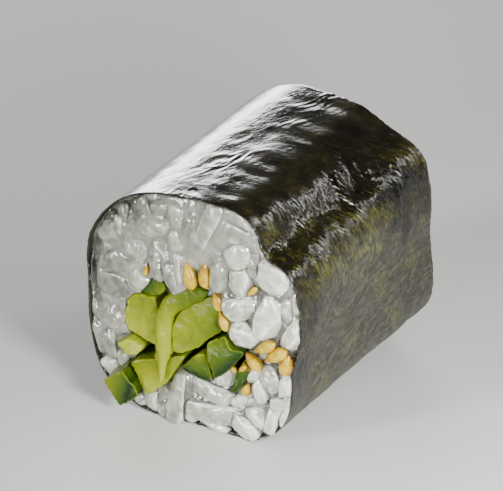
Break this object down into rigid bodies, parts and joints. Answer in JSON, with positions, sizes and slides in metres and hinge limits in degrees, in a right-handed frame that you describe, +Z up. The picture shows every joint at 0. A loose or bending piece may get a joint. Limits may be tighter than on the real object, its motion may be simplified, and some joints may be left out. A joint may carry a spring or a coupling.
{
  "type": "cucumber maki",
  "caption": "Piece of cucumber maki lying on its side: nori round sticky rice, cucumber sticks and sesame showing at the cut faces.",
  "frame": {"origin": "middle of the flat underside the roll rests on, half way along the roll and below its axis", "axes": "+Y along the roll from the shown cut face to the far one, +Z up, so the shown cut face looks along -Y"},
  "size_m": [0.028, 0.0357, 0.0288],
  "materials": {
    "nori": "moist dark green-black seaweed with a satin sheen",
    "rice": "moist translucent white rice",
    "cucumber_flesh": "wet pale green flesh",
    "cucumber_skin": "wet green flesh with dark green skin"
  },
  "bodies": {
    "root": {"nori": "nori", "rice": "rice", "cucumber_upper_left": "cucumber_flesh", "cucumber_centre": "cucumber_flesh", "cucumber_tongue": "cucumber_flesh", "cucumber_bit": "cucumber_flesh", "cucumber_lower": "cucumber_skin", "cucumber_corner": "cucumber_skin", "cucumber_underside": "cucumber_skin", "cucumber_right": "cucumber_skin", "cucumber_strip": "cucumber_skin", "cucumber_top": "cucumber_skin"}
  },
  "joints": []
}
